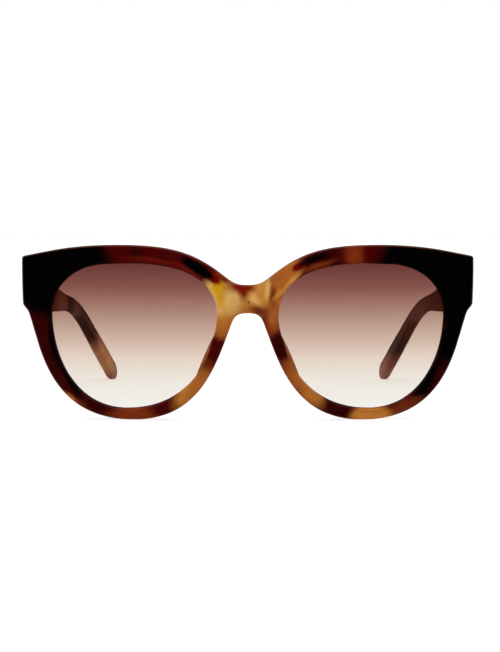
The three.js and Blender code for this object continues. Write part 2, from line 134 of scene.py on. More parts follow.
def to_frame(points):
    """Millimetres of the part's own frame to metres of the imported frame."""
    placed = np.array(points, float) + (0, SHIFT_Y, -STAND_HEIGHT)
    placed[:, 2] = np.maximum(placed[:, 2], 0)
    return placed * MM


# ---- Mesh helpers ----

BEVEL_ANGLE = 30


def make_object(name, points, faces, smooth=True, weld=0, floats=()):
    """A closed mesh with outward faces. weld joins points this close; floats are point values."""
    mesh = bpy.data.meshes.new(name)
    mesh.from_pydata([tuple(p) for p in points], [], faces)
    for label, values in floats:
        mesh.attributes.new(label, "FLOAT", "POINT").data.foreach_set("value", list(values))
    work = bmesh.new()
    work.from_mesh(mesh)
    bmesh.ops.remove_doubles(work, verts=work.verts, dist=weld)
    unused = [v for v in work.verts if not v.link_faces]
    bmesh.ops.delete(work, geom=unused, context="VERTS")
    bmesh.ops.recalc_face_normals(work, faces=work.faces)
    work.to_mesh(mesh)
    work.free()
    mesh.polygons.foreach_set("use_smooth", [smooth] * len(mesh.polygons))
    piece = bpy.data.objects.new(name, mesh)
    bpy.context.scene.collection.objects.link(piece)
    return piece


def smooth_faces(piece, sharp_angle):
    mesh = piece.data
    mesh.polygons.foreach_set("use_smooth", [True] * len(mesh.polygons))
    mesh.set_sharp_from_angle(angle=math.radians(sharp_angle))


def loft(sections):
    """Points and faces of a skin over closed sections of equal point count, with closed ends."""
    count = len(sections)
    size = len(sections[0])
    points = np.concatenate([np.asarray(s, float) for s in sections])
    faces = []
    for i in range(count - 1):
        for k in range(size):
            a = i * size + k
            b = i * size + (k + 1) % size
            faces.append((a, b, b + size, a + size))
    faces.append(tuple(range(size - 1, -1, -1)))
    faces.append(tuple((count - 1) * size + k for k in range(size)))
    return points, faces


def bake_modifiers(piece):
    """Turns the piece's modifiers into its mesh."""
    depsgraph = bpy.context.evaluated_depsgraph_get()
    mesh = bpy.data.meshes.new_from_object(piece.evaluated_get(depsgraph))
    piece.modifiers.clear()
    piece.data = mesh


def cut_or_join(piece, tools, operation):
    for tool in tools:
        boolean = piece.modifiers.new("boolean", "BOOLEAN")
        boolean.operation = operation
        boolean.solver = "EXACT"
        boolean.object = tool
    bpy.context.view_layer.update()
    bake_modifiers(piece)
    for tool in tools:
        bpy.data.objects.remove(tool)


def soften(piece, width, segments=3):
    """Rounds sharp edges and evens out the shading."""
    bevel = piece.modifiers.new("bevel", "BEVEL")
    bevel.width = width * MM
    bevel.segments = segments
    bevel.limit_method = "ANGLE"
    bevel.angle_limit = math.radians(BEVEL_ANGLE)
    bevel.use_clamp_overlap = True
    even_shading(piece)


def even_shading(piece):
    normals = piece.modifiers.new("normals", "WEIGHTED_NORMAL")
    normals.keep_sharp = True
    normals.weight = 60


def block(low, high, side):
    """A plain box, only ever used to cut or to be joined into a shaped piece."""
    (x0, y0, z0), (x1, y1, z1) = low, high
    corners = [(side * x, y, z) for x in (x0, x1) for y in (y0, y1) for z in (z0, z1)]
    faces = [(0, 1, 3, 2), (4, 6, 7, 5), (0, 4, 5, 1), (2, 3, 7, 6), (0, 2, 6, 4), (1, 5, 7, 3)]
    return make_object("tool", to_frame(corners), faces, smooth=False)


def turned(profile, x, y, sides, side):
    """A body turned around an upright axis from (radius, z) pairs that start and end on it."""
    rings = profile[1:-1]
    points = [(x, y, profile[0][1])]
    for radius, z in rings:
        for k in range(sides):
            angle = 2 * math.pi * k / sides
            points.append((x + radius * math.cos(angle), y + radius * math.sin(angle), z))
    points.append((x, y, profile[-1][1]))
    faces = [(0, 1 + (k + 1) % sides, 1 + k) for k in range(sides)]
    for i in range(len(rings) - 1):
        for k in range(sides):
            a = 1 + i * sides + k
            b = 1 + i * sides + (k + 1) % sides
            faces.append((a, b, b + sides, a + sides))
    last = 1 + (len(rings) - 1) * sides
    top = len(points) - 1
    faces += [(top, last + k, last + (k + 1) % sides) for k in range(sides)]
    points = [(side * px, py, pz) for px, py, pz in points]
    return make_object("tool", to_frame(points), faces, smooth=False)


# ---- Front curve and outlines ----

def ramp(value, low, high):
    t = np.clip((value - low) / (high - low), 0, 1)
    return t * t * (3 - 2 * t)


def eye_bow(u):
    return WRAP * u + u * u / (2 * LENS_CURVE)


FOREMOST = eye_bow(-WRAP * LENS_CURVE)


def face_y(x, z):
    """Depth of the front's face at a point seen from the front."""
    side = np.abs(x)
    edge = BRIDGE_BLEND - EYE_X
    slope = WRAP + edge / LENS_CURVE
    bridge = eye_bow(edge) + slope * (side * side - BRIDGE_BLEND ** 2) / (2 * BRIDGE_BLEND)
    bow = np.where(side < BRIDGE_BLEND, bridge, eye_bow(side - EYE_X))
    return bow - FOREMOST + (z - EYE_Z) ** 2 / (2 * LENS_CURVE)


def lug_share(x, z):
    return ramp(np.abs(x), LUG_INNER_X, LUG_FULL_X) * ramp(z, LUG_INNER_Z, LUG_FULL_Z)


def back_y(x, z):
    share = lug_share(x, z)
    return (face_y(x, z) + RIM_THICKNESS) * (1 - share) + JOINT_Y * share


def cubic(curve, t):
    """Points of a cubic curve at the values t, and the directions along it there."""
    a, b, c, d = (np.array(p, float) for p in curve)
    t = np.asarray(t, float)[:, None]
    at = (1 - t) ** 3 * a + 3 * (1 - t) ** 2 * t * b + 3 * (1 - t) * t ** 2 * c + t ** 3 * d
    along = (1 - t) ** 2 * (b - a) + 2 * (1 - t) * t * (c - b) + t ** 2 * (d - c)
    return at, along / np.linalg.norm(along, axis=1, keepdims=True)


# Clockwise from the top of the bridge: a cubic curve, its steps, and where its two ends look
# at the lens opening, as angles around the opening's middle.
OUTER_RUNS = (
    (((0, 42.85), (4.6, 42.85), (4.9, 43.9), (9.8, 47.5)), 20, 157, 143),
    (((9.8, 47.5), (18.8, 54.1), (27, 55.5), (41, 55.5)), 32, 143, 82),
    (((41, 55.5), (54, 55.5), (62, 53.9), (71.3, 51.95)), 32, 82, 36),
    (((71.3, 51.95), (72, 51.8), (72.4, 51.5), (72.4, 50.8)), 8, 36, 33),
    (((72.4, 50.8), (72.4, 46), (72.2, 41), (72, 37)), 16, 33, 14),
    (((72, 37), (71.9, 35.6), (70.6, 35.4), (69.9, 33.4)), 14, 14, 8),
    (((69.9, 33.4), (69, 30.8), (68.4, 28.4), (67.5, 25.7)), 10, 8, -4),
    (((67.5, 25.7), (63.4, 11.3), (55.8, 0), (36.8, 0)), 44, -4, -88),
    (((36.8, 0), (16, 0), (10.6, 15.9), (5.7, 29.2)), 48, -88, -184),
    (((5.7, 29.2), (4.5, 32.6), (4, 34.1), (0, 34.1)), 16, -184, -192),
)
SEAM = ((0, 34.1), (0, 42.85), 14, -192, -203)
NOSE_CURVE = OUTER_RUNS[8][0]

OPENING_CURVES = (
    ((44, 49.95), (56.2, 49.95), (63, 41.8), (63, 34.1)),
    ((63, 34.1), (63, 18.5), (54.8, 3.1), (38.8, 3.1)),
    ((38.8, 3.1), (20.1, 3.1), (13, 17), (11.7, 22.4)),
    ((11.7, 22.4), (10.9, 25.2), (9.3, 28.5), (9.3, 33.2)),
    ((9.3, 33.2), (9.3, 53.5), (41, 49.95), (44, 49.95)),
)
OPENING_MIDDLE = np.array((36.0, 27.0))


def opening_outline(samples=300):
    """Dense points around the lens opening's edge, clockwise."""
    t = np.arange(samples) / samples
    return np.concatenate([cubic(curve, t)[0] for curve in OPENING_CURVES])


def sorted_outline():
    """Angles of the opening's edge points from its middle, in order, and the points."""
    outline = opening_outline()
    around = outline - OPENING_MIDDLE
    angle = np.unwrap(np.arctan2(around[:, 1], around[:, 0]))
    order = np.argsort(angle)
    return angle[order], outline[order]


OPENING_ANGLE, OPENING_EDGE = sorted_outline()


def opening_at(degrees):
    """Edge points of the opening at angles from its middle, and the directions away from it."""
    def edge_at(radians):
        turn = 2 * math.pi
        wrapped = (radians - OPENING_ANGLE[0]) % turn + OPENING_ANGLE[0]
        angles = np.append(OPENING_ANGLE, OPENING_ANGLE[0] + turn)
        edge = np.vstack([OPENING_EDGE, OPENING_EDGE[:1]])
        return np.stack([np.interp(wrapped, angles, edge[:, i]) for i in (0, 1)], axis=1)

    radians = np.radians(np.asarray(degrees, float))
    step = 0.02
    along = edge_at(radians - step) - edge_at(radians + step)
    along /= np.linalg.norm(along, axis=1, keepdims=True)
    return edge_at(radians), np.stack([-along[:, 1], along[:, 0]], axis=1)


# ---- Front frame ----

def front_stations():
    """Outer points, inward directions, opening angles, and whether each is on the seam x = 0."""
    outer, inwards, angles, plain = [], [], [], []
    ends = []
    for curve, steps, start, end in OUTER_RUNS:
        t = np.arange(steps) / steps
        at, along = cubic(curve, t)
        if ends:
            along[0] = along[0] + ends[-1]
            along[0] /= np.linalg.norm(along[0])
        ends.append(cubic(curve, [1.0])[1][0])
        outer.append(at)
        inwards.append(np.stack([along[:, 1], -along[:, 0]], axis=1))
        angles.append(start + (end - start) * t)
        plain += [False] * steps
    low, high, steps, start, end = SEAM
    clear = 1.4 * EDGE_ROUND / (high[1] - low[1])
    t = np.append(0, np.linspace(clear, 1 - clear, steps - 1))
    outer.append(np.array(low) + t[:, None] * (np.array(high) - np.array(low)))
    inwards.append(np.tile((1.0, 0.0), (steps, 1)))
    angles.append(start + (end - start) * t)
    plain += [False] + [True] * (steps - 1)
    inwards = np.concatenate(inwards)
    inwards[0] = (0, -1)
    inwards[plain.index(True) - 1] = (0, 1)
    return np.concatenate(outer), inwards, np.concatenate(angles), np.array(plain)


def front_sections():
    """Section points around the rim: stations by section points by three."""
    outer, inwards, angles, plain = front_stations()
    edge, outwards = opening_at(angles)
    radius = np.where(plain, 0, EDGE_ROUND)[:, None]
    shoulder = outer + inwards * radius
    columns = []
    shares = []

    def at_face(at, depth):
        y = face_y(at[:, 0], at[:, 1]) + depth
        columns.append(np.stack([at[:, 0], y, at[:, 1]], axis=1))

    def at_back(at, height):
        share = lug_share(at[:, 0], at[:, 1])
        y = back_y(at[:, 0], at[:, 1]) - height
        columns.append(np.stack([at[:, 0] - LUG_TAPER * share, y, at[:, 1]], axis=1))

    def from_edge(offset):
        return edge + outwards * offset

    # Front chamfer, softly rounded into the opening's wall and into the face.
    chamfer = ((-1, 0.8), (-0.98, 0.6), (-0.86, 0.47), (-0.35, 0.2), (-0.1, 0.06), (0.25, 0.0))
    for share, depth in chamfer:
        at_face(from_edge(share * CHAMFER_WIDTH), depth)
        shares.append(0.0)
    near = from_edge(chamfer[-1][0] * CHAMFER_WIDTH)
    for t in (0.07, 0.2, 0.35, 0.5, 0.65, 0.8, 0.93):
        at_face(near + (shoulder - near) * t, 0)
        shares.append(0.0)
    # The outer edge's rounding. Its shares mark where the painted backlight glow lies, strongest half way
    # round.
    first_edge = len(columns)
    arc = np.linspace(0, math.pi / 2, 8)
    for turn in arc:
        at_face(outer + inwards * radius * (1 - math.sin(turn)), radius[:, 0] * (1 - math.cos(turn)))
        shares.append(math.sin(2 * turn))
    for turn in arc[::-1]:
        at_back(outer + inwards * radius * (1 - math.sin(turn)), radius[:, 0] * (1 - math.cos(turn)))
        shares.append(0.0)
    last_edge = len(columns) - 1
    inner = from_edge(-BACK_LIP)
    for t in np.linspace(0.04, 0.97, 18):
        at_back(shoulder + (inner - shoulder) * t, 0)
        shares.append(0.0)
    # The back's softened edge slopes from the thick lug down to the wall's own depth.
    share = lug_share(edge[:, 0], edge[:, 1])
    lift = (JOINT_Y - face_y(edge[:, 0], edge[:, 1]) - RIM_THICKNESS) * share
    for across, drop in ((-0.4, 0.03), (-0.75, 0.12), (-0.95, 0.28), (-1, 0.5)):
        at_face(from_edge(across * CHAMFER_WIDTH), RIM_THICKNESS - drop + lift * (1 + across))
        shares.append(0.0)
    for offset, depth in (
        (-CHAMFER_WIDTH, GROOVE_MIDDLE + GROOVE_MOUTH),
        (GROOVE_DEPTH - CHAMFER_WIDTH, GROOVE_MIDDLE + GROOVE_FLOOR),
        (GROOVE_DEPTH - CHAMFER_WIDTH, GROOVE_MIDDLE - GROOVE_FLOOR),
        (-CHAMFER_WIDTH, GROOVE_MIDDLE - GROOVE_MOUTH),
    ):
        at_face(from_edge(offset), depth)
        shares.append(0.0)
    return np.stack(columns, axis=1), plain, first_edge, last_edge, shares


def front_mesh():
    """The whole front: the left half and its mirror image, joined along x = 0."""
    sections, plain, first_edge, last_edge, shares = front_sections()
    stations, size, _ = sections.shape
    on_seam = plain.copy()
    on_seam[0] = True
    on_seam[np.argmax(plain) - 1] = True
    faces = []
    for i in range(stations):
        following = (i + 1) % stations
        seam_pair = on_seam[i] and on_seam[following]
        for k in range(size):
            if seam_pair and first_edge <= k < last_edge:
                continue
            after = (k + 1) % size
            faces.append((i * size + k, following * size + k, following * size + after, i * size + after))
    points = sections.reshape(-1, 3)
    other = points * (-1, 1, 1)
    count = len(points)
    faces += [tuple(count + v for v in reversed(face)) for face in faces]
    return np.concatenate([points, other]), faces, np.tile(shares, stations * 2)


def hinge_pocket(side):
    half = PLATE_HEIGHT / 2 + FIT_GAP
    floor = JOINT_Y - PLATE_DEPTH - PLATE_THICKNESS - FIT_GAP
    foot_x = (PLATE_FROM_X + PLATE_TO_X) / 2
    foot_half = FOOT_HEIGHT / 2 + FIT_GAP
    pocket = block(
        (PLATE_FROM_X - FIT_GAP, floor, HINGE_Z - half),
        (PLATE_TO_X + FIT_GAP, JOINT_Y + POCKET_OPEN, HINGE_Z + half), side)
    socket = block(
        (foot_x - FOOT_WIDTH / 2 - FIT_GAP, floor - FOOT_DEPTH - FIT_GAP, HINGE_Z - foot_half),
        (foot_x + FOOT_WIDTH / 2 + FIT_GAP, floor + SOCKET_OVERLAP, HINGE_Z + foot_half), side)
    return [pocket, socket]


def build_front():
    points, faces, rounding = front_mesh()
    piece = make_object("front_shell", to_frame(points), faces, weld=WELD_DISTANCE * MM,
                        floats=[("outer_edge", rounding)])
    cut_or_join(piece, hinge_pocket(1) + hinge_pocket(-1), "DIFFERENCE")
    smooth_faces(piece, 40)
    even_shading(piece)
    return piece


# ---- Lenses ----

def build_lens(name, side):
    """A curved disc: rings from the front's middle, over the edge, to the back's middle."""
    angles = np.arange(LENS_SIDES) * 360 / LENS_SIDES
    edge, outwards = opening_at(-angles)
    lens_front = GROOVE_MIDDLE - LENS_THICKNESS / 2
    lens_back = GROOVE_MIDDLE + LENS_THICKNESS / 2
    half_edge = LENS_EDGE / 2
    wall = edge - outwards * CHAMFER_WIDTH
    rim = edge - outwards * (CHAMFER_WIDTH - LENS_REACH)
    shrinks = (0.97, 0.9, 0.8, 0.65, 0.5, 0.35, 0.2, 0.1)
    rings = [(OPENING_MIDDLE + (wall - OPENING_MIDDLE) * (1 - s), lens_front) for s in shrinks]
    rings += [(wall, lens_front), (rim, GROOVE_MIDDLE - half_edge), (rim, GROOVE_MIDDLE + half_edge),
              (wall, lens_back)]
    rings += [(OPENING_MIDDLE + (wall - OPENING_MIDDLE) * (1 - s), lens_back) for s in reversed(shrinks)]
    sections = []
    for at, depth in rings:
        y = face_y(at[:, 0], at[:, 1]) + depth
        sections.append(np.stack([at[:, 0], y, at[:, 1]], axis=1))
    points, faces = loft(sections)
    points[:, 0] *= side
    piece = make_object(name, to_frame(points), faces)
    smooth_faces(piece, 35)
    return piece


# ---- Nose pads ----

def nose_x(z):
    at, _ = cubic(NOSE_CURVE, np.linspace(0, 1, NOSE_SAMPLES))
    return float(np.interp(z, at[:, 1], at[:, 0]))


def smooth_loop(corners, count):
    """Evenly spread points of a closed smooth curve near the given corners."""
    corners = np.asarray(corners, float)
    size = len(corners)
    loop = []
    for k in range(count):
        place = k / count * size
        i = int(place)
        t = place - i
        a, b, c, d = (corners[(i + j) % size] for j in (-1, 0, 1, 2))
        loop.append((a * (1 - t) ** 3 + b * (3 * t ** 3 - 6 * t ** 2 + 4)
                     + c * (-3 * t ** 3 + 3 * t ** 2 + 3 * t + 1) + d * t ** 3) / 6)
    return loop


PAD_STEPS, PAD_SECTION_POINTS = 48, 44
PAD_END_REACH, PAD_END_WIDTH = 0.5, 0.35
# How far the pad's root lies inside the rim's edge, and where the rim's back is taken.
PAD_INSET, PAD_BACKING = 0.25, 1.5
PAD_ROOT_MIDDLE = 1.6
# How full the reach and the width stay towards the pad's ends; smaller is fuller.
PAD_REACH_POWER, PAD_WIDTH_POWER = 0.8, 0.5
# Corners around a section: distance across, the share of the rear's offset that is added to
# it, and depth as a share of the reach.
PAD_CORNERS = (
    (3, 0, -0.1), (2.9, 0.25, 0.3), (2.7, 0.5, 0.62), (2.4, 0.8, 0.92), (1.6, 0.95, 1.06),
    (0.5, 1, 1.02), (0, 0.75, 0.8), (0, 0.35, 0.4), (-0.1, 0, 0.1), (0, 0, -0.1), (1.6, 0, -0.1),
)


def build_pad(name, side):
    sections = []
    for i in range(PAD_STEPS + 1):
        turn = math.pi * i / PAD_STEPS
        z = PAD_LOW_Z + (PAD_HIGH_Z - PAD_LOW_Z) * (1 - math.cos(turn)) / 2
        reach = PAD_END_REACH + (PAD_REACH - PAD_END_REACH) * math.sin(turn) ** PAD_REACH_POWER
        narrow = PAD_END_WIDTH + (1 - PAD_END_WIDTH) * math.sin(turn) ** PAD_WIDTH_POWER
        x = nose_x(z) + PAD_INSET
        y = float(back_y(x + PAD_BACKING, z))
        rear = PAD_SPLAY * reach
        middle = PAD_ROOT_MIDDLE + 0.5 * rear
        corners = []
        for fixed, share, depth in PAD_CORNERS:
            across = fixed + share * rear
            corners.append((x + middle + (across - middle) * narrow, y + depth * reach, z))
        sections.append(smooth_loop(corners, PAD_SECTION_POINTS))
    points, faces = loft(sections)
    points[:, 0] *= side
    piece = make_object(name, to_frame(points), faces)
    even_shading(piece)
    return piece


# ---- Temples ----

BEND_END = TEMPLE_STRAIGHT + BEND_RADIUS * (DROP_SLOPE - TEMPLE_SLOPE)
TEMPLE_LENGTH = BEND_END + DROP_LENGTH


def temple_path(s):
    """Centre of the temple at a distance along it, and the slope of its path there."""
    straight = min(s, TEMPLE_STRAIGHT)
    turned_by = min(max((s - TEMPLE_STRAIGHT) / BEND_RADIUS, 0), DROP_SLOPE - TEMPLE_SLOPE)
    dropped = max(s - BEND_END, 0)
    slope = TEMPLE_SLOPE + turned_by
    along = (straight * math.cos(TEMPLE_SLOPE)
             + BEND_RADIUS * (math.sin(slope) - math.sin(TEMPLE_SLOPE)) + dropped * math.cos(DROP_SLOPE))
    down = (straight * math.sin(TEMPLE_SLOPE)
            + BEND_RADIUS * (math.cos(TEMPLE_SLOPE) - math.cos(slope)) + dropped * math.sin(DROP_SLOPE))
    leaning = min(max(s - LEAN_START, 0), BEND_END - LEAN_START)
    growth = (LEAN_DROP - LEAN_FRONT) / (BEND_END - LEAN_START)
    inwards = LEAN_FRONT * s + growth * leaning ** 2 / 2 + dropped * (LEAN_DROP - LEAN_FRONT)
    centre = (TEMPLE_OUTER_X - TEMPLE_THICKNESS / 2 - inwards,
              JOINT_Y + TEMPLE_GAP + along, TEMPLE_JOINT_Z - down)
    return centre, slope * float(ramp(s, 0, 9))


def temple_section(s, half_thickness, half_height, squareness, count):
    (x, y, z), slope = temple_path(s)
    twist = DROP_TWIST * float(ramp(s, LEAN_START, BEND_END))
    turn = -(np.arange(count) + 0.5) / count * 2 * math.pi
    across = half_thickness * np.sign(np.cos(turn)) * np.abs(np.cos(turn)) ** (2 / squareness)
    up = half_height * np.sign(np.sin(turn)) * np.abs(np.sin(turn)) ** (2 / squareness)
    sideways = across * math.cos(twist) + up * math.sin(twist)
    raised = up * math.cos(twist) - across * math.sin(twist)
    return np.stack([x + sideways, y + raised * math.sin(slope), z + raised * math.cos(slope)], axis=1)


def temple_height(s):
    """The CAD part's height evened out along the temple, and slimmer through the bend."""
    places, heights = zip(*TEMPLE_HEIGHTS)
    spread = HEIGHT_REACH * ramp(s, REACH_FROM, REACH_TO)
    height = np.interp(s + spread * np.linspace(-1, 1, 9), places, heights).mean()
    slimmer = BEND_SLIMMING * ramp(s, *SLIM_FADE_IN) * (1 - ramp(s, *SLIM_FADE_OUT))
    return float(height - slimmer)


def temple_thickness(s):
    return TEMPLE_THICKNESS + (TIP_THICKNESS - TEMPLE_THICKNESS) * s / TEMPLE_LENGTH


def build_temple(name, side):
    sections = []
    tip = TEMPLE_HEIGHTS[-1][1] / 2

    def add_section(s, half, height):
        rounder = float(ramp(s, TEMPLE_LENGTH - 4 * tip, TEMPLE_LENGTH - tip))
        squareness = TEMPLE_SQUARENESS + (TIP_SQUARENESS - TEMPLE_SQUARENESS) * rounder
        sections.append(temple_section(s, half, height, squareness, TEMPLE_SECTION_POINTS))

    # The joint end is rounded over.
    for s, shrink in ((0, 0.35), (0.05, 0.18), (0.16, 0.05), (0.35, 0)):
        add_section(s, TEMPLE_THICKNESS / 2 - shrink, temple_height(s) / 2 - shrink)
    for s in np.linspace(1.2, TEMPLE_LENGTH - tip, TEMPLE_STEPS):
        add_section(s, temple_thickness(s) / 2, temple_height(s) / 2)
    for turn in np.sin(np.linspace(0, math.pi / 2, 15)[1:-1]):
        shrink = math.sqrt(1 - turn ** 2)
        half = TIP_THICKNESS / 2 * (TIP_END_SHARE + (1 - TIP_END_SHARE) * shrink)
        add_section(TEMPLE_LENGTH - tip * (1 - turn), half, tip * shrink)
    points, faces = loft(sections)
    points[:, 0] *= side
    piece = make_object(name, to_frame(points), faces)
    bars = []
    for s in np.linspace(-1, WIRE_END + FIT_GAP, WIRE_STEPS):
        bars.append(temple_section(s, (WIRE_THICKNESS / 2 + FIT_GAP) * math.sqrt(2),
                                   (WIRE_WIDTH / 2 + FIT_GAP) * math.sqrt(2), 2, 4))
    points, faces = loft(bars)
    points[:, 0] *= side
    cut_or_join(piece, [make_object("tool", to_frame(points), faces, smooth=False)], "DIFFERENCE")
    smooth_faces(piece, 40)
    even_shading(piece)
    return piece


# ---- Hinges ----

KNUCKLE_PITCH = KNUCKLE_HEIGHT + FIT_GAP


def knuckle_z(index):
    return HINGE_Z - KNUCKLE_HEIGHT / 2 + (index - 2) * KNUCKLE_PITCH


def knuckle_parts(index, web_low, web_high, side):
    low = knuckle_z(index)
    high = low + KNUCKLE_HEIGHT
    barrel = turned([(0, low), (KNUCKLE_RADIUS, low), (KNUCKLE_RADIUS, high), (0, high)],
                    AXIS_X, JOINT_Y, BARREL_SIDES, side)
    return [barrel, block((*web_low, low), (*web_high, high), side)]


def finish_leaf(piece, parts, side):
    cut_or_join(piece, parts, "UNION")
    profile = [(0, BORE_FROM_Z), (BORE_RADIUS, BORE_FROM_Z), (BORE_RADIUS, BORE_TO_Z), (0, BORE_TO_Z)]
    bore = turned(profile, AXIS_X, JOINT_Y, SCREW_SIDES, side)
    cut_or_join(piece, [bore], "DIFFERENCE")
    smooth_faces(piece, 180)
    soften(piece, LEAF_ROUNDING)


def build_front_leaf(name, side):
    plate_y = JOINT_Y - PLATE_DEPTH
    half = PLATE_HEIGHT / 2
    foot_x = (PLATE_FROM_X + PLATE_TO_X) / 2
    piece = block((PLATE_FROM_X, plate_y - PLATE_THICKNESS, HINGE_Z - half),
                  (PLATE_TO_X, plate_y, HINGE_Z + half), side)
    piece.name = name
    parts = [block(
        (foot_x - FOOT_WIDTH / 2, plate_y - PLATE_THICKNESS - FOOT_DEPTH, HINGE_Z - FOOT_HEIGHT / 2),
        (foot_x + FOOT_WIDTH / 2, plate_y - PLATE_THICKNESS / 2, HINGE_Z + FOOT_HEIGHT / 2), side)]
    for index in (0, 2, 4):
        parts += knuckle_parts(index, (AXIS_X - KNUCKLE_RADIUS, plate_y - 0.1),
                               (AXIS_X + KNUCKLE_RADIUS, JOINT_Y), side)
    finish_leaf(piece, parts, side)
    return piece


def build_temple_leaf(name, side):
    plate_x = TEMPLE_OUTER_X - TEMPLE_THICKNESS - FIT_GAP - LEAF_THICKNESS
    half = LEAF_HEIGHT / 2
    outline = []
    for y, z in ((0, -half), (LEAF_LENGTH - LEAF_CORNER, -half), (LEAF_LENGTH, LEAF_CORNER - half),
                 (LEAF_LENGTH, half - LEAF_CORNER), (LEAF_LENGTH - LEAF_CORNER, half), (0, half)):
        turned_y = y * math.cos(TEMPLE_SLOPE) + z * math.sin(TEMPLE_SLOPE)
        turned_z = z * math.cos(TEMPLE_SLOPE) - y * math.sin(TEMPLE_SLOPE)
        outline.append((JOINT_Y + LEAF_FROM_Y + turned_y, HINGE_Z + turned_z))
    points = [(side * x, y, z) for x in (plate_x, plate_x + LEAF_THICKNESS) for y, z in outline]
    count = len(outline)
    faces = [tuple(range(count - 1, -1, -1)), tuple(range(count, 2 * count))]
    faces += [(k, (k + 1) % count, (k + 1) % count + count, k + count) for k in range(count)]
    piece = make_object(name, to_frame(points), faces, smooth=False)
    parts = []
    for index in (1, 3):
        parts += knuckle_parts(index, (AXIS_X, JOINT_Y),
                               (plate_x + LEAF_THICKNESS, JOINT_Y + TEMPLE_WEB_LENGTH), side)
    finish_leaf(piece, parts, side)
    return piece


def build_screw(name, side):
    bottom = knuckle_z(0) - SCREW_END_BELOW
    chamfer_top = bottom + SCREW_END_CHAMFER
    seat = knuckle_z(4) + KNUCKLE_HEIGHT + SCREW_HEAD_GAP
    head = SCREW_HEAD_RADIUS
    crown = seat + SCREW_HEAD_HEIGHT
    piece = turned([(0, bottom), (SCREW_RADIUS - SCREW_END_CHAMFER, bottom), (SCREW_RADIUS, chamfer_top),
                    (SCREW_RADIUS, seat), (head - 0.05, seat), (head, seat + 0.06), (head, seat + 0.3),
                    (head - 0.08, seat + 0.44), (head - 0.3, crown), (0, crown)],
                   AXIS_X, JOINT_Y, SCREW_SIDES, side)
    piece.name = name
    slot = block((AXIS_X - SLOT_REACH, JOINT_Y - SLOT_WIDTH / 2, seat + SLOT_FLOOR),
                 (AXIS_X + SLOT_REACH, JOINT_Y + SLOT_WIDTH / 2, seat + SLOT_REACH), side)
    cut_or_join(piece, [slot], "DIFFERENCE")
    smooth_faces(piece, 180)
    soften(piece, SCREW_ROUNDING, 2)
    return piece


# ---- Materials ----

BLACK = (0.0006, 0.0003, 0.0003)
DARK_MAROON = (0.028, 0.0012, 0.001)
MAROON = (0.052, 0.0012, 0.0012)
DEEP_RED = (0.05, 0.0004, 0.0006)
RED = (0.15, 0.0035, 0.001)
RED_BROWN = (0.095, 0.005, 0.002)
RUST = (0.13, 0.02, 0.005)
COPPER = (0.19, 0.028, 0.006)
BROWN = (0.08, 0.02, 0.008)
AMBER = (0.34, 0.1, 0.018)
ORANGE = (0.43, 0.15, 0.022)
TAN = (0.5, 0.2, 0.035)
HONEY = (0.6, 0.36, 0.11)
YELLOW = (0.57, 0.3, 0.01)
# Painted light: the warm glow of backlight through the acetate, laid on the front's rounded outer edge.
PAINTED_EDGE_GLOW = (0.3, 0.07, 0.02)
COCOA = (0.04, 0.009, 0.006)
DUSK = (0.16, 0.05, 0.036)
MAUVE = (0.26, 0.108, 0.078)
PALE_TAN = (0.39, 0.178, 0.078)


RANGE_LABELS = ("From Min", "From Max", "To Min", "To Max")


class Shader:
    """A node material being built."""

    def __init__(self, name):
        self.material = bpy.data.materials.new(name)
        self.material.use_nodes = True
        self.tree = self.material.node_tree
        self.tree.nodes.clear()
        self.output = self.add("ShaderNodeOutputMaterial")
        self.place = self.add("ShaderNodeTexCoord").outputs["Object"]

    def add(self, kind, **settings):
        made = self.tree.nodes.new(kind)
        for key, value in settings.items():
            setattr(made, key, value)
        return made

    def link(self, source, target):
        if hasattr(source, "is_output"):
            self.tree.links.new(source, target)
        else:
            target.default_value = source

    def noise(self, scale, detail=3.0, roughness=0.5, at=None):
        made = self.add("ShaderNodeTexNoise")
        self.link(at or self.place, made.inputs["Vector"])
        made.inputs["Scale"].default_value = scale
        made.inputs["Detail"].default_value = detail
        made.inputs["Roughness"].default_value = roughness
        return made

    def vector(self, operation, *values):
        made = self.add("ShaderNodeVectorMath", operation=operation)
        for value, socket in zip(values, made.inputs):
            self.link(value, socket)
        return made.outputs[1 if operation == "LENGTH" else 0]

    def math(self, operation, *values):
        made = self.add("ShaderNodeMath", operation=operation)
        for value, socket in zip(values, made.inputs):
            self.link(value, socket)
        return made.outputs[0]

    def ramp(self, value, low, high, to_low=0.0, to_high=1.0):
        """A smooth change from to_low at low to to_high at high."""
        made = self.add("ShaderNodeMapRange", interpolation_type="SMOOTHSTEP")
        self.link(value, made.inputs["Value"])
        for label, number in zip(RANGE_LABELS, (low, high, to_low, to_high)):
            made.inputs[label].default_value = number
        return made.outputs["Result"]

    def mix(self, share, first, second, blend="MIX"):
        made = self.add("ShaderNodeMix", data_type="RGBA", blend_type=blend)
        colours = [s for s in made.inputs if s.type == "RGBA"]
        self.link(share, made.inputs["Factor"])
        self.link((*first, 1) if isinstance(first, tuple) else first, colours[0])
        self.link((*second, 1) if isinstance(second, tuple) else second, colours[1])
        return next(s for s in made.outputs if s.type == "RGBA")

    def bump(self, height, strength, distance):
        made = self.add("ShaderNodeBump")
        made.inputs["Strength"].default_value = strength
        made.inputs["Distance"].default_value = distance
        self.link(height, made.inputs["Height"])
        return made.outputs["Normal"]

    def surface(self, **values):
        """The Principled shader, with constants and links by socket name, joined to the output."""
        made = self.add("ShaderNodeBsdfPrincipled")
        for label, value in values.items():
            self.link(value, made.inputs[label.replace("_", " ")])
        self.tree.links.new(made.outputs[0], self.output.inputs["Surface"])


def wavy_place(shader, coarse, fine):
    """Object coordinates pushed about by a slow and a quick noise, for natural patch outlines."""
    moved = shader.place
    for scale, reach in ((90, coarse), (420, fine)):
        colour = shader.noise(scale, 2.0).outputs["Color"]
        push = shader.vector("SUBTRACT", colour, (0.5, 0.5, 0.5))
        push = shader.vector("MULTIPLY", push, (reach * MM,) * 3)
        moved = shader.vector("ADD", moved, push)
    return moved


